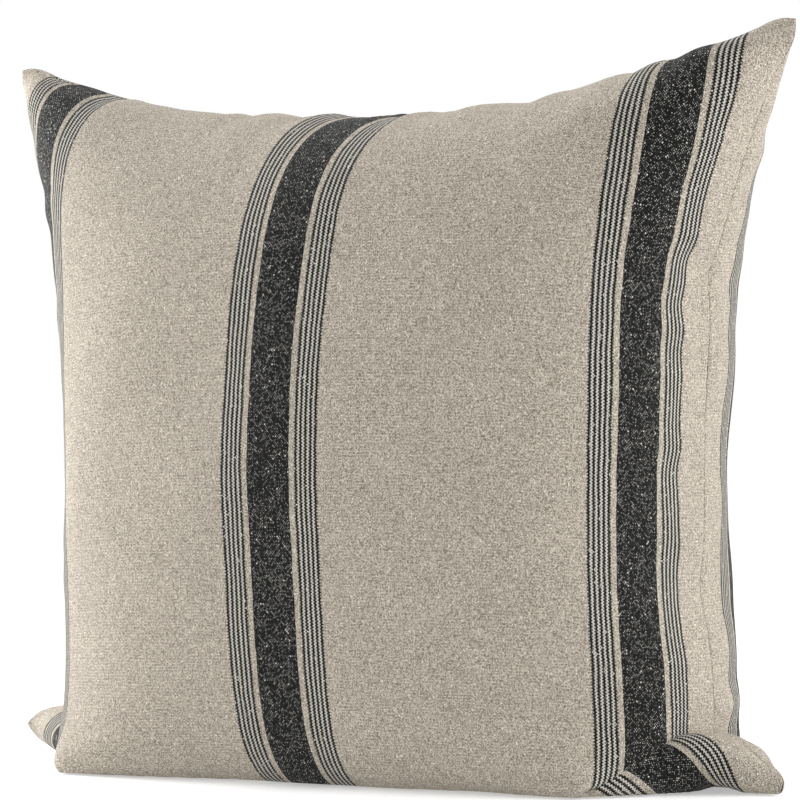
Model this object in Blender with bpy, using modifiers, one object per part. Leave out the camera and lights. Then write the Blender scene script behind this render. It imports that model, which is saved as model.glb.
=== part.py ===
"""A square throw pillow that stands on its bottom edge: a two-panel cover with a zipper in its
bottom seam, and a loose insert, which is a sewn casing round a soft fill.

Metres, +Z up. The width lies along X, the depth along Y and the front faces -Y. The origin is
on the floor under the middle of the pillow.
"""

from math import cos, radians, sin

import bmesh
import bpy
from mathutils import Vector

# Driving dimensions of the stuffed pillow
HALF_WIDTH = 0.274  # from the middle to a corner's tip
WAIST = 0.062  # how far a side's middle is drawn in from its corners
HALF_DEPTH = 0.134
MID_HEIGHT = 0.190
HALF_RISE = 0.250  # from mid height to a top corner's tip
TOP_SAG = 0.046  # how far the top edge's middle is drawn down
HALF_DROP = 0.200  # below mid height; past the floor, so the belly lies flat on it
EAR_LIFT = 0.020  # the bottom corners' tips stay this much higher than the belly's drop
EAR_LIFT_SHARPNESS = 10
ROUNDNESS = 0.75  # 1 gives an ellipse, less gives a fuller section
ROWS = 18
ROW_CROWDING = 1.5  # crowds the rows of faces towards the seams

# Layers, each measured inwards from the cover's outside
COVER_INSIDE = 0.0009
CASING_OUTSIDE = 0.0026
CASING_INSIDE = 0.0032
FILL_OUTSIDE = 0.0049
EAR = 0.018  # the corners' tips hold folded seam allowance and no insert
CASING_EAR = EAR * 1.1
CASING_HOLLOW_EAR = EAR * 1.15
CASING_THREAD_EAR = EAR * 1.2
FILL_EAR = EAR * 1.25
EAR_SHARPNESS = 8  # even; more keeps that to a smaller tip
SMALLEST_EDGE = 0.0001  # shorter ones, left by a cut, are closed up
GAP = 0.0003  # between pieces that touch

# The bottom seam lies in a groove between the two bellies
GROOVE = 0.008
INNER_GROOVE = 0.014  # the insert gives way to the slider
GROOVE_HALF = 0.016
GROOVE_REACH = 0.030  # the groove has faded out this high up the bellies

# Zipper, centred on the bottom seam
ZIP_HALF_LENGTH = 0.190
MOUTH_HALF_WIDTH = 0.005
MOUTH_HALF_LENGTH = ZIP_HALF_LENGTH + 0.006
MOUTH_HEIGHT = 0.014
CHAIN_HEIGHT = 0.0081
COIL_RADIUS = 0.00095
COIL_AXIS = 0.0015  # from the middle plane to a coil's axis
TAPE_INNER = 0.0027
TAPE_OUTER = 0.0125
TAPE_THICKNESS = 0.0005
SLIDER_X = ZIP_HALF_LENGTH - 0.010
SLIDER_LENGTH = 0.011
SLIDER_HALF_WIDTH = 0.0042
PLATE = 0.0011
PULL_RADIUS = 0.0005
PULL_HEIGHT = 0.0050  # of the pull tab's pivot over the floor
PULL_LENGTH = 0.024
STOP_LENGTH = 0.0022
STOP_HALF_HEIGHT = 0.0012
STOP_ROUNDING = 0.0004
WEB_MARGIN = 0.001  # from the slider's ends to its web
WEB_HALF_WIDTH = 0.0002
BRIDGE_HALF_LENGTH = 0.0035
BRIDGE_HALF_WIDTH = 0.0011
BRIDGE_WALL = 0.0008
ARCH_HALF_LENGTH = 0.0026
OVERLAP = 0.0002  # of shapes that are united
ARM_INNER = 0.0014
ARM_OUTER = 0.0024
WINDOW_LENGTH = 0.0055
HOLE_RADIUS = 0.0013
HOLE_INSET = 0.004

THREAD_RADIUS = 0.00035
THREAD_INSET = 0.0016
THREAD_START = ZIP_HALF_LENGTH + 0.009  # of the bottom seam's two runs
LOWEST_THREAD = 0.035  # where the side seams' thread ends, above the bottom corners
CASING_THREAD_INSET = 0.0039


def clear_scene():
    for item in list(bpy.data.objects):
        bpy.data.objects.remove(item)


def collection(name):
    made = bpy.data.collections.new(name)
    bpy.context.scene.collection.children.link(made)
    return made


def material(name, colour, roughness, metallic=0.0):
    made = bpy.data.materials.new(name)
    made.use_nodes = True
    shader = made.node_tree.nodes["Principled BSDF"]
    shader.inputs["Base Color"].default_value = (*colour, 1)
    shader.inputs["Roughness"].default_value = roughness
    shader.inputs["Metallic"].default_value = metallic
    return made


def power(value, exponent):
    return abs(value) ** exponent * (1 if value >= 0 else -1)


def seam_angle(share):
    """A row's angle for its share of the way from the middle (0) to a seam (1 or -1)."""
    turn = 1 - (1 - abs(share)) ** ROW_CROWDING
    return radians(90) * (turn if share >= 0 else -turn)


def pillow_point(across, up, inset=0.0, groove=GROOVE, ear=0.0):
    """A point of the front surface. across and up are angles from the middle, 90 degrees on a seam."""
    corner = ear * (sin(across) * sin(up)) ** EAR_SHARPNESS
    waist = WAIST * cos(up) ** 2 + inset + corner
    x = (HALF_WIDTH - waist) * power(sin(across), ROUNDNESS)
    rise = HALF_RISE - TOP_SAG * cos(across) ** 2 - corner
    drop = HALF_DROP - EAR_LIFT * sin(across) ** EAR_LIFT_SHARPNESS - corner
    half = (rise if up >= 0 else drop) - inset
    z = max(MID_HEIGHT + half * power(sin(up), ROUNDNESS), inset)
    swell = max(cos(across), 0) ** ROUNDNESS * max(cos(up), 0) ** ROUNDNESS
    y = -(HALF_DEPTH - inset) * (swell if swell > 1e-6 else 0)
    near_seam = max(0, 1 - abs(y) / GROOVE_HALF)
    near_floor = max(0, 1 - (z - inset) / GROOVE_REACH)
    return Vector((x, y, z + groove * near_seam * near_floor))


def add(name, mesh, group, look, smooth=True):
    made = bpy.data.objects.new(name, mesh)
    group.objects.link(made)
    mesh.materials.append(look)
    if smooth:
        mesh.shade_smooth()
    return made


def split_corners(shell):
    """Cuts each corner's face from its tip, so that no triangle of it lies flat in the seam's plane."""
    for tip in [vert for vert in shell.verts if len(vert.link_faces) == 1]:
        face = tip.link_faces[0]
        inner = min(face.verts, key=lambda vert: vert.co.y)
        bmesh.ops.connect_verts(shell, verts=[tip, inner])


def form_mesh(name, inset, groove, ear):
    """The front half of the pillow's surface, open at the seam."""
    shell = bmesh.new()
    bmesh.ops.create_grid(shell, x_segments=ROWS, y_segments=ROWS, size=1)
    for vert in shell.verts:
        across, up = seam_angle(vert.co.x), seam_angle(vert.co.y)
        vert.co = pillow_point(across, up, inset, groove, ear)
    split_corners(shell)
    bmesh.ops.recalc_face_normals(shell, faces=shell.faces)
    if sum(face.normal.y * face.calc_area() for face in shell.faces) > 0:
        bmesh.ops.reverse_faces(shell, faces=shell.faces)
    mesh = bpy.data.meshes.new(name)
    shell.to_mesh(mesh)
    shell.free()
    return mesh


def form(name, group, look, inset, groove=GROOVE, ear=0.0):
    """A closed pillow-shaped body: the front half and its mirror image."""
    made = add(name, form_mesh(name, inset, groove, ear), group, look)
    mirror = made.modifiers.new("both_panels", "MIRROR")
    mirror.use_axis = (False, True, False)
    mirror.merge_threshold = 0.00001
    return made


def as_cutter(item):
    item.hide_render = True
    item.display_type = "WIRE"
    return item


def box_mesh(name, low, high):
    low, high = Vector(low), Vector(high)
    solid = bmesh.new()
    bmesh.ops.create_cube(solid, size=1)
    bmesh.ops.scale(solid, vec=high - low, verts=solid.verts)
    bmesh.ops.translate(solid, vec=(low + high) / 2, verts=solid.verts)
    mesh = bpy.data.meshes.new(name)
    solid.to_mesh(mesh)
    solid.free()
    return mesh


def box(name, group, look, low, high):
    return add(name, box_mesh(name, low, high), group, look, smooth=False)


def boolean(item, kind, other):
    cut = item.modifiers.new(kind.lower(), "BOOLEAN")
    cut.operation = kind
    cut.solver = "EXACT"
    cut.object = other


def tube(name, group, look, points, radius, closed=False):
    curve = bpy.data.curves.new(name, "CURVE")
    curve.dimensions = "3D"
    curve.bevel_depth = radius
    curve.bevel_resolution = 1
    curve.use_fill_caps = not closed
    line = curve.splines.new("POLY")
    line.points.add(len(points) - 1)
    for place, point in zip(line.points, points):
        place.co = (*point, 1)
    line.use_cyclic_u = closed
    made = bpy.data.objects.new(name, curve)
    group.objects.link(made)
    curve.materials.append(look)
    return made


def row_shares():
    return [-1 + 2 * row / ROWS for row in range(ROWS + 1)]


def seam_path(side, inset, ear, groove, reach=radians(75)):
    """Points just inside one edge of the pillow, clear of the corners."""
    points = []
    for share in row_shares():
        along = seam_angle(share)
        if abs(along) > reach:
            continue
        if side in ("left", "right"):
            edge = radians(-90 if side == "left" else 90)
            points.append(pillow_point(edge, along, inset, groove, ear))
        else:
            edge = radians(90 if side == "top" else -90)
            points.append(pillow_point(along, edge, inset, groove, ear))
    return points


def close_short_edges(item):
    weld = item.modifiers.new("short_edges", "WELD")
    weld.merge_threshold = SMALLEST_EDGE


def make_panels(parts, cutters, fabric):
    """The cover's front and back panels, each a bowl that ends at the seam."""
    hollow = as_cutter(form("cover_hollow", cutters, fabric, COVER_INSIDE, ear=EAR))
    low = (-MOUTH_HALF_LENGTH, -MOUTH_HALF_WIDTH, -MOUTH_HEIGHT)
    high = (MOUTH_HALF_LENGTH, MOUTH_HALF_WIDTH, MOUTH_HEIGHT)
    mouth = as_cutter(box("zip_mouth", cutters, fabric, low, high))
    for name, side in (("cover_front", -1), ("cover_back", 1)):
        panel = form(name, parts, fabric, 0)
        split_panel(panel, side, cutters, fabric)
        boolean(panel, "DIFFERENCE", hollow)
        boolean(panel, "DIFFERENCE", mouth)
        close_short_edges(panel)


def split_panel(body, side, cutters, look):
    """Keeps the half of a closed body that lies on one side of the seam's plane."""
    near, far = sorted((side * GAP / 2, side * 0.5))
    name = body.name + "_half_space"
    half = as_cutter(box(name, cutters, look, (-0.5, near, -0.1), (0.5, far, 0.7)))
    boolean(body, "INTERSECT", half)


def make_casing(parts, cutters, cloth):
    """The insert's two casing panels."""
    hollow = as_cutter(form("casing_hollow", cutters, cloth, CASING_INSIDE, INNER_GROOVE, CASING_HOLLOW_EAR))
    for name, side in (("insert_casing_front", -1), ("insert_casing_back", 1)):
        panel = form(name, parts, cloth, CASING_OUTSIDE, INNER_GROOVE, CASING_EAR)
        panel.rotation_euler.z = radians(180) if side > 0 else 0
        split_panel(panel, side, cutters, cloth)
        boolean(panel, "DIFFERENCE", hollow)
        close_short_edges(panel)


def make_casing_thread(parts, thread):
    """The insert is sewn shut all round, so its thread is one ring."""
    sides = []
    for side in ("bottom", "right", "top", "left"):
        path = seam_path(side, CASING_THREAD_INSET, CASING_THREAD_EAR, INNER_GROOVE, radians(90))
        if side in ("top", "left"):
            path.reverse()
        sides += path[:-1]
    tube("insert_seam_thread", parts, thread, sides, THREAD_RADIUS, closed=True)


def make_fill(parts, wadding):
    form("fill", parts, wadding, FILL_OUTSIDE, INNER_GROOVE, FILL_EAR)


def path_beyond(path, x):
    """The part of a path past x, starting with the point at x itself."""
    after = next(place for place, point in enumerate(path) if point.x > x)
    before, beyond = path[after - 1], path[after]
    start = before.lerp(beyond, (x - before.x) / (beyond.x - before.x))
    return [start, *path[after:]]


def make_threads(parts, cutters, thread):
    """The seams' thread lies just inside the fold where front and back panels meet."""
    for side in ("left", "right", "top"):
        path = [point for point in seam_path(side, THREAD_INSET, EAR, GROOVE) if point.z > LOWEST_THREAD]
        tube("cover_seam_thread_" + side, parts, thread, path, THREAD_RADIUS)
    bottom = seam_path("bottom", THREAD_INSET, EAR, GROOVE)
    right_half = [point for point in bottom if point.x >= 0]
    path = path_beyond(right_half, THREAD_START)
    tube("cover_seam_thread_bottom_right", parts, thread, path, THREAD_RADIUS)
    mirrored = [Vector((-point.x, point.y, point.z)) for point in path]
    tube("cover_seam_thread_bottom_left", parts, thread, mirrored, THREAD_RADIUS)


def make_tapes(parts, cloth):
    """Each tape slopes down from its coil along the inside of its panel."""
    fall = GROOVE / GROOVE_HALF
    for name, side in (("zipper_tape_front", -1), ("zipper_tape_back", 1)):
        width = TAPE_OUTER - TAPE_INNER
        low = (-ZIP_HALF_LENGTH, 0, 0)
        tape = box_mesh(name, low, (ZIP_HALF_LENGTH, width, TAPE_THICKNESS))
        for vert in tape.vertices:
            out = vert.co.y
            vert.co.y = side * (TAPE_INNER + out)
            vert.co.z += CHAIN_HEIGHT - TAPE_THICKNESS / 2 - fall * out
        if side < 0:
            tape.flip_normals()
        add(name, tape, parts, cloth, smooth=False)


def make_coils(parts, nylon):
    for name, side in (("zipper_coil_front", -1), ("zipper_coil_back", 1)):
        ends = [Vector((x, side * COIL_AXIS, CHAIN_HEIGHT)) for x in (-ZIP_HALF_LENGTH, ZIP_HALF_LENGTH)]
        tube(name, parts, nylon, ends, COIL_RADIUS)


def make_stops(parts, metal):
    half = COIL_AXIS + COIL_RADIUS
    for name, side in (("zipper_top_stop", 1), ("zipper_bottom_stop", -1)):
        start = ZIP_HALF_LENGTH + GAP
        near, far = sorted((side * start, side * (start + STOP_LENGTH)))
        low = (near, -half, CHAIN_HEIGHT - STOP_HALF_HEIGHT)
        stop = box(name, parts, metal, low, (far, half, CHAIN_HEIGHT + STOP_HALF_HEIGHT))
        rounded(stop, STOP_ROUNDING)


def rounded(item, width, segments=2):
    edge = item.modifiers.new("rounded", "BEVEL")
    edge.width = width
    edge.segments = segments
    edge.limit_method = "ANGLE"


def make_slider(parts, cutters, metal):
    """Two plates round the coils, the web between them and the bridge that holds the pull tab."""
    half = SLIDER_LENGTH / 2
    under = CHAIN_HEIGHT - COIL_RADIUS - GAP
    over = CHAIN_HEIGHT + COIL_RADIUS + GAP
    wide = SLIDER_HALF_WIDTH
    slider = box("zipper_slider", parts, metal, (-half, -wide, over), (half, wide, over + PLATE))
    slider.location.x = SLIDER_X
    arch_low = PULL_HEIGHT - PULL_RADIUS - GAP
    web_low = (WEB_MARGIN, -WEB_HALF_WIDTH, under - OVERLAP)
    web_high = (half - WEB_MARGIN, WEB_HALF_WIDTH, over + OVERLAP)
    bridge_low = (-BRIDGE_HALF_LENGTH, -BRIDGE_HALF_WIDTH, arch_low - BRIDGE_WALL)
    bridge_high = (BRIDGE_HALF_LENGTH, BRIDGE_HALF_WIDTH, under - PLATE + OVERLAP)
    pieces = {
        "lower_plate": ((-half, -wide, under - PLATE), (half, wide, under)),
        "web": (web_low, web_high),
        "bridge": (bridge_low, bridge_high),
    }
    for name, (low, high) in pieces.items():
        piece = as_cutter(box("slider_" + name, cutters, metal, low, high))
        piece.location.x = SLIDER_X
        boolean(slider, "UNION", piece)
    low = (-ARCH_HALF_LENGTH, -2 * BRIDGE_HALF_WIDTH, arch_low)
    high = (ARCH_HALF_LENGTH, 2 * BRIDGE_HALF_WIDTH, under - PLATE)
    arch = as_cutter(box("slider_arch", cutters, metal, low, high))
    arch.location.x = SLIDER_X
    boolean(slider, "DIFFERENCE", arch)


def make_pull_tab(parts, cutters, metal):
    """A plate with two arms and a crossbar that passes through the slider's bridge."""
    pivot = Vector((SLIDER_X, 0, PULL_HEIGHT))
    bar = PULL_RADIUS
    tab = box("zipper_pull_tab", parts, metal, (-PULL_LENGTH, -ARM_OUTER, -bar), (bar, ARM_OUTER, bar))
    tab.location = pivot
    low = (-WINDOW_LENGTH, -ARM_INNER, -2 * bar)
    window = as_cutter(box("pull_window", cutters, metal, low, (-bar, ARM_INNER, 2 * bar)))
    window.location = pivot
    boolean(tab, "DIFFERENCE", window)
    hole_mesh = bmesh.new()
    bmesh.ops.create_cone(
        hole_mesh,
        cap_ends=True,
        segments=12,
        radius1=HOLE_RADIUS,
        radius2=HOLE_RADIUS,
        depth=4 * bar,
    )
    mesh = bpy.data.meshes.new("pull_hole")
    hole_mesh.to_mesh(mesh)
    hole_mesh.free()
    hole = as_cutter(add("pull_hole", mesh, cutters, metal))
    hole.location = pivot + Vector((-PULL_LENGTH + HOLE_INSET, 0, 0))
    boolean(tab, "DIFFERENCE", hole)


def main():
    clear_scene()
    parts = collection("throw_pillow")
    cutters = collection("cutters")
    flax = material("flax_stripe", (0.62, 0.56, 0.48), 0.92)
    thread = material("polyester_thread", (0.66, 0.60, 0.52), 0.7)
    tape = material("zipper_tape", (0.55, 0.49, 0.40), 0.85)
    nylon = material("nylon_coil", (0.60, 0.54, 0.45), 0.45)
    metal = material("zinc_slider", (0.72, 0.68, 0.60), 0.35, 1.0)
    cotton = material("white_cotton", (0.86, 0.85, 0.82), 0.9)
    wadding = material("down_fill", (0.92, 0.91, 0.88), 1.0)
    make_panels(parts, cutters, flax)
    make_threads(parts, cutters, thread)
    make_tapes(parts, tape)
    make_coils(parts, nylon)
    make_stops(parts, metal)
    make_slider(parts, cutters, metal)
    make_pull_tab(parts, cutters, metal)
    make_casing(parts, cutters, cotton)
    make_casing_thread(parts, thread)
    make_fill(parts, wadding)


main()
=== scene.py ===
"""Throw pillow that stands on its bottom edge: cloth solved on two square panels, then detailed."""
import math

import bpy
import numpy as np
from mathutils import Matrix, Vector


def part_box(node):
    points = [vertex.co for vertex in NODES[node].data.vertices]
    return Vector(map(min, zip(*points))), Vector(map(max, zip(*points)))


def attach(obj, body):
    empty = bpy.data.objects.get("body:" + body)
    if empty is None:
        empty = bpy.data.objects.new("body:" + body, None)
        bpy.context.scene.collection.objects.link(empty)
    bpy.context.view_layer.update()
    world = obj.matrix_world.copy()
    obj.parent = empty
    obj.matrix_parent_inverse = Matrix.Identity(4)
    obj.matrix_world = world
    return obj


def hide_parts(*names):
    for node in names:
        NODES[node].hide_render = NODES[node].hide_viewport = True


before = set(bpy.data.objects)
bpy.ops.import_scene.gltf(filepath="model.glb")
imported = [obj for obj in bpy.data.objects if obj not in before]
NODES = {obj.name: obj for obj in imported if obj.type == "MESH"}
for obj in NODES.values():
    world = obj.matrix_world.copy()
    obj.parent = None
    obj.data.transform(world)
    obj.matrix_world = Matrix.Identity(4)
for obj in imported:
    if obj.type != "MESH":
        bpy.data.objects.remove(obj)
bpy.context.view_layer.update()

# The cover, in metres
SIDE = 0.559                     # each square panel, seam to seam
BAND_OFFSET = 0.3957             # from the middle band's centre to a side band's, as a share of SIDE
CLOTH = 0.0009                   # thickness of the cover's cloth
WARP = 0.00078                   # from one upright yarn to the next
WEFT = 0.0009                    # from one level yarn to the next

# The fill and the cloth's behaviour
FREE_DEPTH = 0.280               # how far the fill would push the panels apart with no cover
PROFILE = 0.35                   # how square the fill's section is
HARDNESS = 6.2                   # how fast the fill's pressure falls as the panels move apart
HEAD = 0.107                     # how much more the fill presses at the bottom than at the top
LEAST_PRESS = -0.3               # the least pressure, where the panels are pushed too far apart
GRAVITY = 0.116                  # the weight, in the same measure as the pressure
HEIGHT = 0.5                     # about the pillow's height, in metres
SHEAR = 0.03                     # how far the weave resists shear
SEAM_STIFF = 0.5                 # how far the seams resist stretching, beyond the yarns
BENDING = 0.0005                 # how far the cloth resists bending
MOST_BEND = 0.02                 # the most that one step can take, to stay steady
PUSH = 0.010                     # the size of a step
GRIP = 0.5                       # how much of its slide along the floor the cloth loses
SLACK = 0.1                      # how far yarns resist being shortened, as against being stretched
FLOP = (0.2, 2.5)                # how much the left and right bottom corners lean forward
FLOP_DOWN = 0.5                  # how much they go down as they do
CORNER_WIDTH = 0.16              # the part of the panel that a bottom corner takes in, as a share
CORNER_HEIGHT = 0.07             # and how far up it goes
NOISE = 0.0006                   # unevenness given to the cloth halfway through the solving
PINCH = 1.4                      # strength of all the pinches
PINCH_ALONG = 0.035              # how far a pinch spreads along its seam, as a share of SIDE
PINCH_IN = 0.020                 # and away from it
# Small pinches of the seams: where across and up, how strong, and the way each one goes in x and z
PINCHES = (
    (1.0, 0.72, 0.7, -1, 0),
    (1.0, 0.39, 1.0, -1, 0),
    (0.0, 0.44, 1.0, 1, 0),
    (0.0, 0.34, 0.7, 1, 0),
    (0.655, 1.0, 0.35, 0, -1),
    (0.72, 1.0, 0.3, 0, -1),
    (0.2, 1.0, 0.25, 0, -1),
)

# The bottom seam, the opening in it, and the groove of cloth that the zipper lies in
HELD = 0.225                     # how far from its middle the bottom seam is held
HELD_FADE = 0.02
SEAM_HEIGHT = 0.008              # height of the bottom seam beside the opening
MOUTH = 0.197                    # half the opening's length
MOUTH_FADE = 0.008
MOUTH_HALF_WIDTH = 0.005
MOUTH_HEIGHT = 0.0055            # height of the opening's edges
GROOVE_HALF = 0.016              # half the groove's width
GROOVE_END = 0.004               # how far the groove goes on past the opening
GROOVE_TOP = 0.03                # only cloth below this is part of it
TAB_START = MOUTH - 0.004        # the pull tab's far end lies from here
TAB_REACH = 0.2085               # to here
TAB_HALF_WIDTH = 0.0045
TAB_ROOM = 0.0064                # the height that it needs

# How the panels meet
NEAR_SEAM = (0, 0.0008, 0.002, 0.0042)   # the rows of points nearest to a seam, as shares of SIDE
FIRST_ROW = 0.0075               # where the even rows of points begin
EVEN_ROWS = 205
FOLD = 0.0022                    # radius of the turned edge
FOLD_RISE = 0.0008               # how far the cover lies outside the solved surface, past its turned edge
FOLD_SHARE = 0.15                # share of the cloth's thickness left at the seam
ALLOWANCE = 0.011                # width of the seam allowance felt through the cloth
ALLOWANCE_FADE = 0.003
ALLOWANCE_RISE = 0.0004
SEAM_GAP = 0.00003               # from each panel to the seam's middle plane
FLOOR_GAP = 0.0008               # height of the lowest points of the cover
FLOOR_DROP = 0.0002              # how far below the object the stage's floor lies

# Unevenness of the filled cloth
DENT = 0.0013                    # broad soft dents
DENT_KNOTS = 11
DENT_FADE = 0.06                 # how near a seam they fade
PUCKER = 0.0013                  # small folds that run away from the seams
PUCKER_KNOTS = 42
PUCKER_START = 0.008
PUCKER_LENGTH = 0.050
PUCKER_CORNER = 0.1              # how near a corner they fade

# The insert: how far its edges and its corners are drawn in, and its panels from the cover's
INNER_GRID = 69
CASING = (0.026, 0.048, 0.0042)
FILLING = (0.034, 0.056, 0.0062)
CASING_CLOTH = 0.0003
CASING_GAP = 0.0002              # from each casing panel to the middle surface
INNER_ROUND = 0.03               # width of the rounding at its edges
INNER_HALF = 0.0003              # least distance of a panel from the middle surface
INNER_FLOOR = 0.0025             # least height, which rises over the zipper
ZIP_RISE = 0.0105
ZIP_HALF_WIDTH = 0.026
ZIP_SIDE_FADE = 0.019
ZIP_HALF_LENGTH = 0.25
ZIP_END_FADE = 0.02

# Thread and coils
THREAD = 0.0002                  # a thread's radius
THREAD_STEP = 0.0006             # from one point of a cover thread to the next
THREAD_SWAY = 0.0003             # how far it passes into each panel
STITCH = 0.003
SEAM_DEPTH = 0.0030              # how far inside the fold the cover's thread lies
SEAM_ENDS = (0.02, 0.98)         # where a seam's thread starts and ends, as shares of SIDE
SEAM_BREAK = 0.004               # how far past the opening the bottom threads start, as a share
INSERT_DRAW = 0.008              # how far the insert's thread is drawn inwards, as a share
INSERT_FLOOR = 0.0155            # its least height, above the zipper
INSERT_POINTS = 3400
COIL_PITCH = 0.00125             # from one loop of a coil to the next
COIL_WIRE = 0.00025              # radius of a coil's wire
COIL_POINTS = 10                 # to each loop

# The camera and the lights
CAMERA_PLACE = (1.2755, -2.0871, 0.2066)
CAMERA_TURN = (0.5470, -0.0070, 0.0029)  # yaw, pitch and roll in radians
SENSOR = 36                      # mm
LENS = 183.771                   # mm
SOFTBOX = (1.6, 2.0)             # width and height in metres
LAMP_TARGET = (0, 0, 0.2)
LAMPS = (("left_softbox", (-2.6, 0.1, 0.9), 120), ("right_softbox", (2.4, 1.3, 0.9), 60))   # place and watts
FLOOR_HALF = 12.0
FLOOR_GREY = (0.60, 0.60, 0.60)
FLOOR_GLOW = 0.42                # keeps the floor white without flooding the object with light

rng = np.random.default_rng(7)


# ---------------------------------------------------------------- cloth solver

def grid(n):
    """Fabric coordinates, 0 to 1 across and up, of an n by n panel."""
    u = np.linspace(0, 1, n)
    return np.meshgrid(u, u, indexing="ij")


def to_edge(across, up):
    """Distance to the nearest seam, in metres along the flat panel."""
    return SIDE * np.minimum(np.minimum(across, 1 - across), np.minimum(up, 1 - up))


def unit(v):
    return v / np.linalg.norm(v, axis=-1, keepdims=True).clip(1e-12)


def start(n):
    """Two flat panels that stand upright and bulge apart a little."""
    across, up = grid(n)
    x = np.zeros((2, n, n, 3))
    bulge = 0.05 * np.sin(np.pi * across) * np.sin(np.pi * up)
    x[..., 0] = (across - 0.5) * SIDE
    x[..., 2] = up * SIDE + 0.001
    x[0, ..., 1] = -bulge
    x[1, ..., 1] = bulge
    return x


def pull(a, b, rest, stiff):
    """Moves two matching arrays of points towards their rest distance, in place."""
    d = b - a
    length = np.sqrt(np.einsum("...k,...k->...", d, d)) + 1e-12
    share = 0.5 * stiff * np.where(length < rest, SLACK, 1)
    move = d * (share * (length - rest) / length)[..., None]
    a += move
    b -= move


def stretch(x, h):
    """Keeps the yarns' lengths, and resists shear a little."""
    for axis in (1, 2):
        y = np.moveaxis(x, axis, 0)
        for s in (0, 1):
            m = (len(y) - s) // 2
            pull(y[s:s + 2 * m:2], y[s + 1:s + 2 * m:2], h, 1.0)
    n = x.shape[1]
    diagonal = h * math.sqrt(2)
    for s in (0, 1):
        m = (n - s) // 2
        a = x[:, s:s + 2 * m:2]
        b = x[:, s + 1:s + 2 * m:2]
        pull(a[:, :, :-1], b[:, :, 1:], diagonal, SHEAR)
        pull(a[:, :, 1:], b[:, :, :-1], diagonal, SHEAR)
    for edge in (x[:, 0], x[:, -1], x[:, :, 0], x[:, :, -1]):
        for s in (0, 1):
            m = (n - s) // 2
            pull(edge[:, s:s + 2 * m:2], edge[:, s + 1:s + 2 * m:2], h, SEAM_STIFF)


def laplacian(x):
    out = np.zeros_like(x)
    out[:, 1:-1, 1:-1] = (
        x[:, 2:, 1:-1] + x[:, :-2, 1:-1] + x[:, 1:-1, 2:] + x[:, 1:-1, :-2] - 4 * x[:, 1:-1, 1:-1]
    )
    return out


def outward(x):
    """Normals of both panels, out of the pillow, not normalised."""
    n = np.cross(np.gradient(x, axis=1), np.gradient(x, axis=2))
    n[1] *= -1
    return n


def join(x):
    """The panels meet along all four edges, and the bottom edge is held in its groove."""
    for edge in (np.s_[:, 0, :], np.s_[:, -1, :], np.s_[:, :, 0], np.s_[:, :, -1]):
        x[edge] = x[edge].mean(0)
    run = np.abs(x[0, :, 0, 0])
    hold = np.clip((HELD - run) / HELD_FADE, 0, 1)
    mouth = np.clip((MOUTH + MOUTH_FADE - run) / MOUTH_FADE, 0, 1)
    height = SEAM_HEIGHT + (MOUTH_HEIGHT - SEAM_HEIGHT) * mouth
    for side, sign in ((0, -1), (1, 1)):
        x[side, :, 0, 2] += (height - x[side, :, 0, 2]) * hold
        x[side, :, 0, 1] += (sign * MOUTH_HALF_WIDTH * mouth - x[side, :, 0, 1]) * hold


def relax(x, steps, damp, flop):
    """Lets the cloth settle for a number of steps, and keeps a share, damp, of its speed."""
    n = x.shape[1]
    h = SIDE / (n - 1)
    across, up = grid(n)
    push = PUSH * h**2 / 0.2
    bend = min(push / 300 * BENDING / h**4, MOST_BEND)
    free = FREE_DEPTH * np.clip(16 * across * (1 - across) * up * (1 - up), 0, 1)**PROFILE
    corner = np.clip(1 - np.minimum(across, 1 - across) / CORNER_WIDTH, 0, 1)
    corner = corner * np.clip(1 - up / CORNER_HEIGHT, 0, 1) * np.where(across < 0.5, *FLOP)
    pinch = np.zeros((n, n, 3))
    for at_x, at_z, strength, way_x, way_z in PINCHES:
        spread_x, spread_z = (PINCH_ALONG, PINCH_IN) if way_x else (PINCH_IN, PINCH_ALONG)
        weight = strength * np.exp(-((across - at_x) / spread_x)**2 - ((up - at_z) / spread_z)**2)
        pinch += PINCH * weight[..., None] * np.array([way_x, 0, way_z])
    v = np.zeros_like(x)
    for _ in range(steps):
        old = x.copy()
        normal = outward(x) / h**2
        gap = np.linalg.norm(x[1] - x[0], axis=-1)
        press = np.clip(HARDNESS * (free - gap) / FREE_DEPTH, LEAST_PRESS, 1)
        top = x[..., 2].max()
        press = press[None] + HEAD * ((top - x[..., 2]) / HEIGHT - 0.5)
        x += v * damp + push * normal * press[..., None]
        x[..., 2] -= push * GRAVITY
        x[..., 1] -= push * flop * corner
        x[..., 2] -= push * FLOP_DOWN * flop * corner
        x += push * pinch
        if bend:
            x -= bend * laplacian(laplacian(x))
        stretch(x, h)
        join(x)
        low = x[..., 2] < 0
        x[..., 2] = np.maximum(x[..., 2], 0)
        x[low, :2] = old[low, :2] + (x[low, :2] - old[low, :2]) * (1 - GRIP)
        v = x - old
    return x


def refine(x):
    """Doubles the grid."""
    n = x.shape[1]
    y = np.zeros((2, 2 * n - 1, n, 3))
    y[:, ::2] = x
    y[:, 1::2] = (x[:, 1:] + x[:, :-1]) / 2
    z = np.zeros((2, 2 * n - 1, 2 * n - 1, 3))
    z[:, :, ::2] = y
    z[:, :, 1::2] = (y[:, :, 1:] + y[:, :, :-1]) / 2
    return z


def solve():
    """The filled cover, from coarse to fine. A little noise breaks its symmetry on the way."""
    x = relax(start(18), steps=700, damp=0.985, flop=0.0)
    x = relax(refine(x), steps=700, damp=0.98, flop=0.6)
    x = refine(x)
    x += unit(outward(x)) * rng.normal(0, NOISE, x.shape[:3])[..., None]
    x = relax(x, steps=500, damp=0.97, flop=1.0)
    x = relax(refine(x), steps=500, damp=0.96, flop=1.0)
    return x


# ---------------------------------------------------------------- meshes

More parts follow.
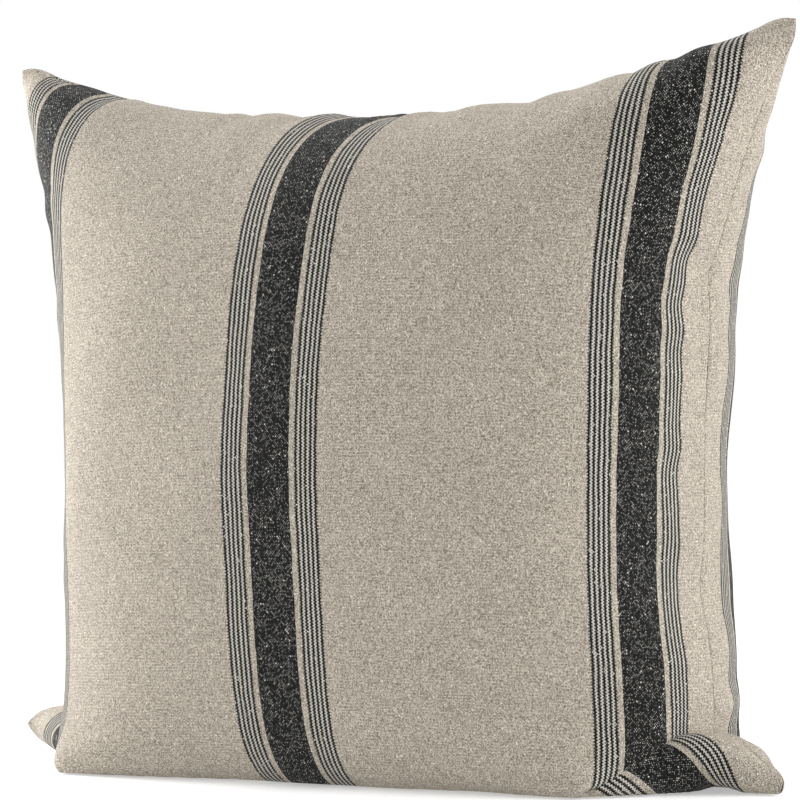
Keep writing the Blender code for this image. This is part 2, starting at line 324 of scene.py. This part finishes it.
def resample(a, axis, at):
    """Smooth (cubic) samples of a along axis, at places from 0 to 1."""
    a = np.moveaxis(a, axis, 0)
    n = len(a)
    k = np.asarray(at) * (n - 1)
    i = np.clip(k.astype(int), 0, n - 2)
    t = (k - i).reshape((-1,) + (1,) * (a.ndim - 1))
    p0 = np.where(i.reshape(t.shape) == 0, 2 * a[0] - a[1], a[np.maximum(i - 1, 0)])
    p3 = np.where(i.reshape(t.shape) == n - 2, 2 * a[-1] - a[-2], a[np.minimum(i + 2, n - 1)])
    p1, p2 = a[i], a[i + 1]
    out = p1 + 0.5 * t * (p2 - p0 + t * (2 * p0 - 5 * p1 + 4 * p2 - p3 + t * (3 * (p1 - p2) + p3 - p0)))
    return np.moveaxis(out, 0, axis)


def mesh_object(name, points, faces, uv=None, smooth=True):
    mesh = bpy.data.meshes.new(name)
    mesh.from_pydata(points.tolist(), [], faces)
    if uv is not None:
        layer = mesh.uv_layers.new(name="cloth")
        index = np.zeros(len(mesh.loops), np.int32)
        mesh.loops.foreach_get("vertex_index", index)
        layer.data.foreach_set("uv", uv[index].astype(np.float32).ravel())
    if smooth:
        mesh.polygons.foreach_set("use_smooth", [True] * len(mesh.polygons))
    mesh.update()
    obj = bpy.data.objects.new(name, mesh)
    bpy.context.scene.collection.objects.link(obj)
    return obj


def panel_faces(n, m, flip):
    i, j = np.meshgrid(np.arange(n - 1), np.arange(m - 1), indexing="ij")
    a = (i * m + j).ravel()
    quad = np.stack([a, a + m, a + m + 1, a + 1], 1)
    if flip:
        quad = quad[:, ::-1]
    return quad.tolist()


def thicken(obj, depth, to_seam):
    """Gives a panel its cloth's thickness inwards, which fades where it meets the other panel."""
    group = obj.vertex_groups.new(name="thickness")
    for index, distance in enumerate(to_seam.tolist()):
        group.add([index], min(1.0, FOLD_SHARE + (1 - FOLD_SHARE) * distance / FOLD), "REPLACE")
    solid = obj.modifiers.new("cloth", "SOLIDIFY")
    solid.thickness = depth
    solid.offset = -1
    solid.use_even_offset = False
    solid.use_quality_normals = True
    solid.vertex_group = "thickness"


# ---------------------------------------------------------------- build

x = solve()
near_seam = np.array(NEAR_SEAM)
even = np.linspace(FIRST_ROW, 1 - FIRST_ROW, EVEN_ROWS)
places = np.concatenate([near_seam, even, 1 - near_seam[::-1]])
fine = resample(resample(x, 1, places), 2, places)
ACROSS, UP = np.meshgrid(places, places, indexing="ij")
TO_SEAM = to_edge(ACROSS, UP)
TO_CORNER = SIDE * np.hypot(np.minimum(ACROSS, 1 - ACROSS), np.minimum(UP, 1 - UP))
normals = unit(outward(fine))

# dents and puckers
dents = np.stack([resample(resample(knots, 0, places), 1, places)
                  for knots in rng.normal(0, DENT, (2, DENT_KNOTS, DENT_KNOTS))])
fine += normals * (dents * np.clip(TO_SEAM / DENT_FADE, 0, 1))[..., None]
for distance, along in ((ACROSS, UP), (1 - ACROSS, UP), (1 - UP, ACROSS)):
    fade = np.exp(-(distance * SIDE / PUCKER_LENGTH)**2) * np.clip(distance * SIDE / PUCKER_START, 0, 1)
    fade *= np.clip(TO_CORNER / PUCKER_CORNER, 0, 1)**2
    for side in (0, 1):
        wave = np.interp(along, places, resample(rng.normal(0, PUCKER, PUCKER_KNOTS), 0, places))
        fine[side] += normals[side] * (wave * fade)[..., None]

# the turned edge, and the seam allowance felt through the cloth
roll = 1 - np.clip(1 - TO_SEAM / FOLD, 0, 1)**2
allowance = np.clip((ALLOWANCE - TO_SEAM) / ALLOWANCE_FADE, 0, 1)
rise = FOLD_RISE * np.sqrt(roll) + ALLOWANCE_RISE * allowance * allowance * (3 - 2 * allowance)
fine += normals * rise[..., None]
fine[0, ..., 1] -= SEAM_GAP
fine[1, ..., 1] += SEAM_GAP

# the groove for the zipper, and the floor
out_x, out_y = np.abs(fine[..., 0]), np.abs(fine[..., 1])
in_groove = (out_x < MOUTH + GROOVE_END) & (out_y < GROOVE_HALF) & (fine[..., 2] < GROOVE_TOP)
groove = SEAM_HEIGHT * (1 - out_y / GROOVE_HALF)
fine[..., 2] = np.where(in_groove, np.minimum(fine[..., 2], groove), fine[..., 2])
fine[..., 2] = np.maximum(fine[..., 2], FLOOR_GAP)
# at its far end the pull tab reaches just past the zipper, where the cover stays clear of it
past_zip = (out_x > TAB_START) & (out_x < TAB_REACH) & (out_y < TAB_HALF_WIDTH)
fine[..., 2] = np.where(past_zip, np.maximum(fine[..., 2], TAB_ROOM), fine[..., 2])


def cover(name, side, node):
    """One panel of the cover. The flat coordinates of the back one start a metre further up."""
    points = fine[side].reshape(-1, 3)
    uv = np.stack([ACROSS * SIDE, UP * SIDE + side], -1).reshape(-1, 2)
    obj = mesh_object(name, points, panel_faces(len(places), len(places), side == 1), uv)
    thicken(obj, CLOTH, TO_SEAM.ravel())
    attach(obj, "pillow")
    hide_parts(node)
    return obj


front = cover("cover_front_cloth", 0, "cover_front")
back = cover("cover_back_cloth", 1, "cover_back")


def sample(a, across, up):
    """Bilinear samples of a panel's array at fabric coordinates."""
    n = a.shape[0]
    i, j = (np.clip((k * (n - 1)).astype(int), 0, n - 2) for k in (across, up))
    s, t = (across * (n - 1) - i)[..., None], (up * (n - 1) - j)[..., None]
    low = a[i, j] * (1 - s) + a[i + 1, j] * s
    high = a[i, j + 1] * (1 - s) + a[i + 1, j + 1] * s
    return low * (1 - t) + high * t


def inner(inset, corner_inset, less):
    """Panels of what lies inside the cover: drawn in from the seams and towards the middle surface."""
    across, up = grid(INNER_GRID)
    corner = (np.abs(2 * across - 1) * np.abs(2 * up - 1))**3
    draw = 1 - 2 * (inset + (corner_inset - inset) * corner) / SIDE
    u, v = (0.5 + (k - 0.5) * draw for k in (across, up))
    y = np.stack([sample(panel, u, v) for panel in x])
    middle = y.mean(0)
    half = y - middle
    length = np.linalg.norm(half, axis=-1, keepdims=True) + 1e-9
    from_edge = to_edge(across, up)[..., None]
    rounded = np.sqrt(1 - np.clip(1 - from_edge / INNER_ROUND, 0, 1)**2)
    y = middle + half / length * np.maximum(length - less, INNER_HALF) * rounded
    over_zip = np.clip((ZIP_HALF_WIDTH - np.abs(y[..., 1])) / ZIP_SIDE_FADE, 0, 1)
    over_zip *= np.clip((ZIP_HALF_LENGTH - np.abs(y[..., 0])) / ZIP_END_FADE, 0, 1)
    y[..., 2] = np.maximum(y[..., 2], INNER_FLOOR + less / 4 + ZIP_RISE * over_zip)
    return y


def casing(name, side, node):
    """One panel of the insert's casing."""
    y = inner(*CASING)
    y[..., 1] += (-CASING_GAP, CASING_GAP)[side]
    across, up = grid(INNER_GRID)
    uv = np.stack([across * SIDE, up * SIDE], -1).reshape(-1, 2)
    faces = panel_faces(INNER_GRID, INNER_GRID, side == 1)
    obj = mesh_object(name, y[side].reshape(-1, 3), faces, uv)
    thicken(obj, CASING_CLOTH, to_edge(across, up).ravel())
    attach(obj, "pillow")
    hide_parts(node)
    return obj


def fill_mass():
    """The fill: one closed form, whose two sides share their edge points."""
    y = inner(*FILLING)
    n = INNER_GRID
    index = np.arange(n * n).reshape(n, n)
    other = np.full((n, n), -1)
    edge = np.zeros((n, n), bool)
    edge[0] = edge[-1] = edge[:, 0] = edge[:, -1] = True
    other[edge] = index[edge]
    other[~edge] = n * n + np.arange((~edge).sum())
    y[:, edge] = y[:, edge].mean(0)
    points = np.concatenate([y[0].reshape(-1, 3), y[1][~edge]])
    faces = panel_faces(n, n, False)
    renamed = other.ravel()
    faces += [[int(renamed[k]) for k in quad] for quad in panel_faces(n, n, True)]
    obj = mesh_object("fill_mass", points, faces)
    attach(obj, "pillow")
    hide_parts("fill")
    return obj


casing_front = casing("casing_front_cloth", 0, "insert_casing_front")
casing_back = casing("casing_back_cloth", 1, "insert_casing_back")
filling = fill_mass()


def tube(name, path, radius, sides=6):
    """A round thread along a path, with closed ends."""
    path = np.asarray(path, float)
    tangent = np.gradient(path, axis=0)
    tangent /= np.linalg.norm(tangent, axis=1, keepdims=True)
    normal = np.cross(tangent[0], (0.3, 0.9, 0.2))  # square to the path's start, whichever way that goes
    rings = []
    angles = np.linspace(0, 2 * math.pi, sides, endpoint=False)
    for point, along in zip(path, tangent):
        normal = normal - along * (normal @ along)
        normal /= np.linalg.norm(normal)
        other = np.cross(along, normal)
        rings.append(point + radius * (np.outer(np.cos(angles), normal) + np.outer(np.sin(angles), other)))
    points = np.concatenate(rings)
    faces = []
    for r in range(len(path) - 1):
        for k in range(sides):
            a, b = r * sides + k, r * sides + (k + 1) % sides
            faces.append((a, b, b + sides, a + sides))
    faces.append(tuple(range(sides))[::-1])
    faces.append(tuple(range(len(points) - sides, len(points))))
    return mesh_object(name, points, faces)


def stitches(name, line, node):
    """One seam's thread: it passes from panel to panel a stitch at a time."""
    run = np.linalg.norm(np.diff(line, axis=0), axis=1).cumsum()
    line = line.copy()
    line[1:, 1] += THREAD_SWAY * np.sin(run / STITCH * math.pi)
    obj = tube(name, line, THREAD)
    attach(obj, "pillow")
    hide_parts(node)
    return obj


def threads():
    """The cover's five runs of thread, then the insert's."""
    middle = x.mean(0)
    facing = unit(outward(x)).sum(0)
    held = MOUTH / SIDE + SEAM_BREAK
    start_at, end_at = SEAM_ENDS
    near = 0.02  # the way inwards is measured this share of the cloth from the seam
    # each run's name, its seam's axis and side, and where it starts and ends
    runs = (
        ("left", 0, 0.0, start_at, end_at),
        ("right", 0, 1.0, start_at, end_at),
        ("top", 1, 1.0, start_at, end_at),
        ("bottom_left", 1, 0.0, start_at, 0.5 - held),
        ("bottom_right", 1, 0.0, 0.5 + held, end_at),
    )
    made = []
    for name, axis, end, low, high in runs:
        edge, within, out = (
            np.take(resample(a, axis, [at]), 0, axis)
            for a, at in ((middle, end), (middle, abs(end - near)), (facing, end))
        )
        inwards = unit((within - edge) / (near * SIDE) - out)
        edge = edge + inwards * SEAM_DEPTH
        place = np.linspace(low, high, int((high - low) * SIDE / THREAD_STEP))
        made.append(stitches("stitches_" + name, resample(edge, 0, place), "cover_seam_thread_" + name))
    ring = inner(*CASING).mean(0)
    around = np.concatenate([ring[0, :-1], ring[:-1, -1], ring[-1, :0:-1], ring[:0:-1, 0]])
    around += (around.mean(0) - around) * INSERT_DRAW
    around[:, 2] = np.maximum(around[:, 2], INSERT_FLOOR)
    loop = resample(around, 0, np.linspace(0.005, 0.995, INSERT_POINTS))
    made.append(stitches("stitches_insert", loop, "insert_seam_thread"))
    return made


def coil(name, sign, node):
    """A nylon spiral whose loops are the zipper's teeth."""
    low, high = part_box(node)
    middle = (low + high) / 2
    turns = int((high.x - low.x) / COIL_PITCH)
    angle = np.linspace(0, 2 * math.pi * turns, turns * COIL_POINTS + 1)
    reach = (high.z - low.z) / 2 - COIL_WIRE
    path = np.stack([
        np.linspace(low.x + COIL_WIRE, high.x - COIL_WIRE, len(angle)),
        middle.y - sign * reach * np.cos(angle),
        middle.z + reach * np.sin(angle),
    ], 1)
    obj = tube(name, path, COIL_WIRE, sides=5)
    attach(obj, "pillow")
    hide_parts(node)
    return obj


sewing = threads()
coils = [coil("coil_spiral_front", -1, "zipper_coil_front"), coil("coil_spiral_back", 1, "zipper_coil_back")]


# ---------------------------------------------------------------- materials

def material(name):
    made = bpy.data.materials.new(name)
    made.use_nodes = True
    tree = made.node_tree
    return made, tree, tree.nodes["Principled BSDF"]


class Maths:
    """Shorthand for a material's number nodes."""

    def __init__(self, tree):
        self.tree = tree

    def node(self, kind, **settings):
        made = self.tree.nodes.new(kind)
        for key, value in settings.items():
            setattr(made, key, value)
        return made

    def put(self, socket, value):
        if isinstance(value, bpy.types.NodeSocket):
            self.tree.links.new(value, socket)
        else:
            socket.default_value = value

    def op(self, operation, a, b=0.0, c=0.0):
        made = self.node("ShaderNodeMath", operation=operation)
        for socket, value in zip(made.inputs, (a, b, c)):
            self.put(socket, value)
        return made.outputs[0]

    def smooth(self, value, low, high, out_low=0.0, out_high=1.0):
        made = self.node("ShaderNodeMapRange", interpolation_type="SMOOTHSTEP")
        for socket, given in zip(made.inputs, (value, low, high, out_low, out_high)):
            self.put(socket, given)
        return made.outputs[0]

    def clamp(self, value):
        made = self.node("ShaderNodeClamp")
        self.put(made.inputs[0], value)
        return made.outputs[0]

    def vector(self, a, b, c=0.0):
        made = self.node("ShaderNodeCombineXYZ")
        for socket, value in zip(made.inputs, (a, b, c)):
            self.put(socket, value)
        return made.outputs[0]

    def times(self, a, b, scale):
        """A vector of a and b, each times its own number."""
        return self.vector(self.op("MULTIPLY", a, scale[0]), self.op("MULTIPLY", b, scale[1]))

    def centred(self, value):
        """A value from 0 to 1, moved to lie about 0."""
        return self.op("SUBTRACT", value, 0.5)

    def noise(self, vector, detail=2.0, rough=0.5):
        made = self.node("ShaderNodeTexNoise")
        self.put(made.inputs["Vector"], vector)
        made.inputs["Scale"].default_value = 1.0
        made.inputs["Detail"].default_value = detail
        made.inputs["Roughness"].default_value = rough
        return made.outputs["Fac"]

    def white(self, vector):
        made = self.node("ShaderNodeTexWhiteNoise", noise_dimensions="2D")
        self.put(made.inputs["Vector"], vector)
        return made.outputs["Value"]

    def mix(self, share, a, b):
        made = self.node("ShaderNodeMix", data_type="RGBA")
        self.put(made.inputs["Factor"], share)
        self.put(made.inputs["A"], a)
        self.put(made.inputs["B"], b)
        return made.outputs["Result"]


# The cloth's colours
FLAX_DARK = (0.215, 0.190, 0.155, 1)
FLAX_LIGHT = (0.640, 0.575, 0.485, 1)
FLAX_SLUB = (0.78, 0.73, 0.63, 1)        # a few pale thick spots
FLAX_SHADOW = (0.20, 0.165, 0.12, 1)     # and a few dark thin ones
CHARCOAL = (0.006, 0.006, 0.0055, 1)
CHARCOAL_WORN = (0.020, 0.020, 0.019, 1)
FLECK = (0.44, 0.43, 0.40, 1)            # weft that shows between charcoal warps
BLEACHED_DARK = (0.44, 0.42, 0.37, 1)    # the ground between pinstripes
BLEACHED = (0.66, 0.63, 0.565, 1)
HOLLOW_SHADE = (0.62, 0.60, 0.57, 1)           # painted shade that darkens the colour in the hollows between yarns
WHITE = (1, 1, 1, 1)

# The weave's unevenness
WANDER = 0.0016                  # the band within which a yarn strays, in metres
WANDER_WAVES = (90, 45)          # to a metre, across and up
WARP_STREAK = (0.0012, 0.016)    # width and height in metres of a warp's thick or thin length
WEFT_STREAK = (0.012, 0.0012)    # the same for a weft
BLOTCHES = 26                    # to a metre
CRINKLES = (150, 80)             # to a metre, across and up
CRINKLE_LIFT = 2.6               # how high they stand, against a yarn's 0.7
RELIEF = 0.00035                 # height in metres of the relief

# The stripes, counted in warp yarns from the middle of a band
DARK_YARNS = 18                  # half the dark band
FIRST_PIN = 23
LAST_PIN = 41
PIN_REPEAT = 4                   # from one pinstripe to the next
PIN_HALF = 1.2                   # half a pinstripe's width
PIN_STEP = 0.4                   # how far its edge steps to each side from weft to weft


def flax_stripe():
    """A plain weave: light flax wefts and warps, and charcoal and bleached warps in the bands."""
    made, tree, shader = material("flax_stripe")
    m = Maths(tree)
    uv = m.node("ShaderNodeUVMap", uv_map="cloth").outputs[0]
    part = m.node("ShaderNodeSeparateXYZ")
    m.put(part.inputs[0], uv)
    u, v = part.outputs[0], part.outputs[1]
    # yarns wander a little
    wander = m.noise(m.times(u, v, WANDER_WAVES), 3.0)
    sway = m.op("MULTIPLY", m.centred(wander), WANDER)
    us, vs = m.op("ADD", u, sway), m.op("SUBTRACT", v, sway)
    from_middle = m.op("ABSOLUTE", m.op("SUBTRACT", us, SIDE / 2))
    across, up = m.op("DIVIDE", us, WARP), m.op("DIVIDE", vs, WEFT)
    i, j = m.op("FLOOR", across), m.op("FLOOR", up)
    fu, fv = m.op("FRACT", across), m.op("FRACT", up)
    weft_over = m.op("MODULO", m.op("ABSOLUTE", m.op("ADD", i, j)), 2.0)
    # each crossing has its own tone, and each yarn has thick and thin lengths
    own = m.white(m.vector(i, j))
    half_across, half_up = m.op("MULTIPLY", across, 2), m.op("MULTIPLY", up, 2)
    fibre = m.white(m.vector(m.op("FLOOR", half_across), m.op("FLOOR", half_up)))
    other = m.white(m.vector(m.op("ADD", i, 313.7), m.op("ADD", j, 71.3)))  # a second tone, far from own
    wide, high = WARP_STREAK
    warp = m.noise(m.vector(m.op("DIVIDE", us, wide), m.op("DIVIDE", vs, high)), 3.0, 0.6)
    wide, high = WEFT_STREAK
    weft = m.noise(m.vector(m.op("DIVIDE", us, wide), m.op("DIVIDE", vs, high), 7.0), 3.0, 0.6)
    blotch = m.noise(m.times(u, v, (BLOTCHES, BLOTCHES)), 4.0, 0.6)
    streak = m.op("ADD", m.centred(warp), m.centred(weft))
    every_other = m.centred(m.op("MODULO", m.op("ABSOLUTE", j), 2.0))
    tone = m.smooth(fibre, 0.3, 0.7)
    for cause, weight in (
        (m.centred(own), 0.2),
        (streak, 0.35),
        (m.centred(blotch), 0.25),
        (m.centred(weft_over), 0.2),
        (every_other, 0.2),
    ):
        tone = m.op("ADD", tone, m.op("MULTIPLY", cause, weight))
    ground = m.mix(m.clamp(tone), FLAX_DARK, FLAX_LIGHT)
    ground = m.mix(m.smooth(other, 0.975, 1.0), ground, FLAX_SLUB)
    ground = m.mix(m.smooth(other, 0.03, 0.0), ground, FLAX_SHADOW)
    # stripes, counted in yarns from the middle of the nearest band
    off = m.op("ABSOLUTE", m.op("SUBTRACT", from_middle, BAND_OFFSET * SIDE))
    count = m.op("DIVIDE", m.op("MINIMUM", from_middle, off), WARP)
    dark = m.op("LESS_THAN", count, DARK_YARNS)
    # the dark pins step from side to side, one way over each weft
    step = m.op("MULTIPLY", every_other, PIN_STEP * 2)
    turn = m.op("MODULO", m.op("ADD", m.op("SUBTRACT", count, FIRST_PIN - 1), step), PIN_REPEAT)
    inside = m.op("LESS_THAN", m.op("ABSOLUTE", m.op("SUBTRACT", turn, PIN_REPEAT / 2)), PIN_HALF)
    reach = m.op("ABSOLUTE", m.op("SUBTRACT", count, (FIRST_PIN + LAST_PIN) / 2))
    pin = m.op("MULTIPLY", inside, m.op("LESS_THAN", reach, (LAST_PIN - FIRST_PIN) / 2 + 0.7))
    gap = m.op("LESS_THAN", reach, (LAST_PIN - FIRST_PIN) / 2 - 1)
    # the weft shows between dark warps as small flecks
    middle_u = m.smooth(m.op("ABSOLUTE", m.centred(fu)), 0.5, 0.25)
    middle_v = m.smooth(m.op("ABSOLUTE", m.centred(fv)), 0.5, 0.25)
    fleck = m.op("MULTIPLY", m.op("MULTIPLY", weft_over, middle_u), middle_v)
    fleck = m.op("MULTIPLY", fleck, m.smooth(m.op("ADD", own, m.op("MULTIPLY", streak, 0.8)), 0.30, 0.75))
    fleck = m.op("MULTIPLY", fleck, m.smooth(fibre, 0.4, 0.6))
    fleck = m.op("MULTIPLY", fleck, m.smooth(pin, 0.0, 1.0, 1.0, 0.35))
    grey = m.mix(m.op("POWER", other, 2.0), CHARCOAL, CHARCOAL_WORN)
    grey = m.mix(fleck, grey, FLECK)
    grey = m.mix(m.op("MULTIPLY", m.smooth(other, 0.975, 0.995), weft_over), grey, BLEACHED)
    base = m.mix(gap, ground, m.mix(m.clamp(tone), BLEACHED_DARK, BLEACHED))
    colour = m.mix(m.op("MAXIMUM", dark, pin), base, grey)
    # painted shade in the hollows between yarns
    round_u = m.op("SINE", m.op("MULTIPLY", fu, math.pi))
    round_v = m.op("SINE", m.op("MULTIPLY", fv, math.pi))
    height = m.op("POWER", m.op("MULTIPLY", round_u, round_v), 0.5)
    shade = m.node("ShaderNodeMix", data_type="RGBA", blend_type="MULTIPLY")
    shade.inputs["Factor"].default_value = 1.0
    m.put(shade.inputs["A"], colour)
    m.put(shade.inputs["B"], m.mix(m.smooth(height, 0.0, 0.5), HOLLOW_SHADE, WHITE))
    m.put(shader.inputs["Base Color"], shade.outputs["Result"])
    m.put(shader.inputs["Roughness"], m.smooth(tone, 0.0, 1.0, 0.95, 0.82))
    shader.inputs["Specular IOR Level"].default_value = 0.1
    shader.inputs["Sheen Weight"].default_value = 0.04
    shader.inputs["Sheen Roughness"].default_value = 0.5
    crinkle = m.noise(m.times(u, v, CRINKLES), 4.0, 0.6)
    lift = m.op("MULTIPLY", height, 0.7)
    for cause, weight in ((own, 0.7), (streak, 0.9), (crinkle, CRINKLE_LIFT)):
        lift = m.op("ADD", lift, m.op("MULTIPLY", cause, weight))
    bump = m.node("ShaderNodeBump")
    bump.inputs["Strength"].default_value = 0.9
    bump.inputs["Distance"].default_value = RELIEF
    m.put(bump.inputs["Height"], lift)
    m.put(shader.inputs["Normal"], bump.outputs[0])
    return made


def woven(name, colour, other, pitch, twill=0.0, rough=0.85):
    """Plain or herringbone cloth from object coordinates."""
    made, tree, shader = material(name)
    m = Maths(tree)
    part = m.node("ShaderNodeSeparateXYZ")
    m.put(part.inputs[0], m.node("ShaderNodeTexCoord").outputs["Object"])
    a = m.op("DIVIDE", part.outputs[0], pitch)
    b = m.op("DIVIDE", m.op("ADD", part.outputs[1], part.outputs[2]), pitch)
    slant = m.op("ADD", a, m.op("MULTIPLY", m.op("PINGPONG", b, 6.0), twill))
    ridge_a = m.op("SINE", m.op("MULTIPLY", slant, math.pi))
    ridge = m.op("MULTIPLY", ridge_a, m.op("SINE", m.op("MULTIPLY", b, math.pi)))
    fibre = m.noise(m.times(a, b, (0.8, 0.8)), 3.0)
    lift = m.op("ADD", m.op("MULTIPLY", m.op("ABSOLUTE", ridge), 0.7), m.op("MULTIPLY", fibre, 0.6))
    # darker second colour where the weave dips: painted shade in the hollows between yarns, mixed with
    # random fibre tone
    m.put(shader.inputs["Base Color"], m.mix(m.smooth(lift, 0.2, 1.0), (*other, 1), (*colour, 1)))
    shader.inputs["Roughness"].default_value = rough
    shader.inputs["Sheen Weight"].default_value = 0.1
    bump = m.node("ShaderNodeBump")
    bump.inputs["Strength"].default_value = 0.6
    bump.inputs["Distance"].default_value = 0.0002
    m.put(bump.inputs["Height"], lift)
    m.put(shader.inputs["Normal"], bump.outputs[0])
    return made


def metal():
    made, tree, shader = material("plated_zinc")
    m = Maths(tree)
    place = m.node("ShaderNodeTexCoord").outputs["Object"]
    scaled = m.node("ShaderNodeMapping")
    scaled.inputs["Scale"].default_value = (400, 2500, 2500)
    m.put(scaled.inputs["Vector"], place)
    brushed = m.noise(scaled.outputs[0], 3.0, 0.6)
    m.put(shader.inputs["Base Color"], m.mix(brushed, (0.42, 0.38, 0.31, 1), (0.66, 0.61, 0.52, 1)))
    m.put(shader.inputs["Roughness"], m.smooth(brushed, 0.3, 0.7, 0.28, 0.42))
    shader.inputs["Metallic"].default_value = 1.0
    return made


def dress(obj, look):
    obj.data.materials.clear()
    obj.data.materials.append(look)


# each second colour is the painted shade of the weave's hollows, mixed with random fibre tone
cotton = woven("white_cotton", (0.80, 0.79, 0.76), (0.66, 0.65, 0.62), pitch=0.0004)
tape_cloth = woven("zipper_tape", (0.42, 0.36, 0.27), (0.30, 0.25, 0.18), pitch=0.0006, twill=0.5)
twist = woven("polyester_thread", (0.50, 0.44, 0.35), (0.34, 0.29, 0.22), pitch=0.0003, twill=1.0, rough=0.6)
nylon = woven("nylon_coil", (0.44, 0.38, 0.29), (0.38, 0.33, 0.25), pitch=0.002, rough=0.35)
down = woven("down_fill", (0.86, 0.85, 0.82), (0.74, 0.73, 0.70), pitch=0.004, twill=0.3, rough=1.0)
zinc = metal()
for piece in (casing_front, casing_back):
    dress(piece, cotton)
dress(filling, down)
for piece in sewing:
    dress(piece, twist)
for piece in coils:
    dress(piece, nylon)
for node in ("zipper_tape_front", "zipper_tape_back"):
    dress(NODES[node], tape_cloth)
for node in ("zipper_slider", "zipper_pull_tab", "zipper_top_stop", "zipper_bottom_stop"):
    dress(NODES[node], zinc)

cloth = flax_stripe()
for piece in (front, back):
    piece.data.materials.append(cloth)


# ---------------------------------------------------------------- stage

def floor():
    size = FLOOR_HALF
    points = np.array([(-size, -size, 0), (size, -size, 0), (size, size, 0), (-size, size, 0)], float)
    obj = mesh_object("floor", points, [(0, 1, 2, 3)], smooth=False)
    obj.location.z = -FLOOR_DROP
    made, _, shader = material("pale_floor")
    shader.inputs["Base Color"].default_value = (*FLOOR_GREY, 1)
    shader.inputs["Roughness"].default_value = 0.9
    shader.inputs["Emission Color"].default_value = WHITE
    shader.inputs["Emission Strength"].default_value = FLOOR_GLOW
    obj.data.materials.append(made)


def lamp(name, place, power):
    """A softbox that faces the pillow."""
    light = bpy.data.lights.new(name, "AREA")
    light.shape = "RECTANGLE"
    light.size, light.size_y = SOFTBOX
    light.energy = power
    obj = bpy.data.objects.new(name, light)
    bpy.context.scene.collection.objects.link(obj)
    obj.location = place
    obj.rotation_euler = (Vector(LAMP_TARGET) - Vector(place)).to_track_quat("-Z", "Y").to_euler()


def camera():
    yaw, pitch, roll = CAMERA_TURN
    forward = Vector((-math.sin(yaw) * math.cos(pitch), math.cos(yaw) * math.cos(pitch), -math.sin(pitch)))
    right = forward.cross(Vector((0, 0, 1))).normalized()
    down = forward.cross(right)
    c, s = math.cos(roll), math.sin(roll)
    right, down = c * right + s * down, c * down - s * right
    cam = bpy.data.cameras.new("camera")
    cam.sensor_width = SENSOR
    cam.lens = LENS
    obj = bpy.data.objects.new("camera", cam)
    bpy.context.scene.collection.objects.link(obj)
    turn = Matrix((right, -down, -forward)).transposed().to_4x4()
    obj.matrix_world = Matrix.Translation(CAMERA_PLACE) @ turn
    bpy.context.scene.camera = obj


def lights():
    """A white surround and two softboxes."""
    world = bpy.data.worlds.new("studio")
    world.use_nodes = True
    background = world.node_tree.nodes["Background"]
    background.inputs["Color"].default_value = WHITE
    background.inputs["Strength"].default_value = 1.0
    bpy.context.scene.world = world
    for name, place, power in LAMPS:
        lamp(name, place, power)
    bpy.context.scene.view_settings.view_transform = "Standard"


floor()
lights()
camera()
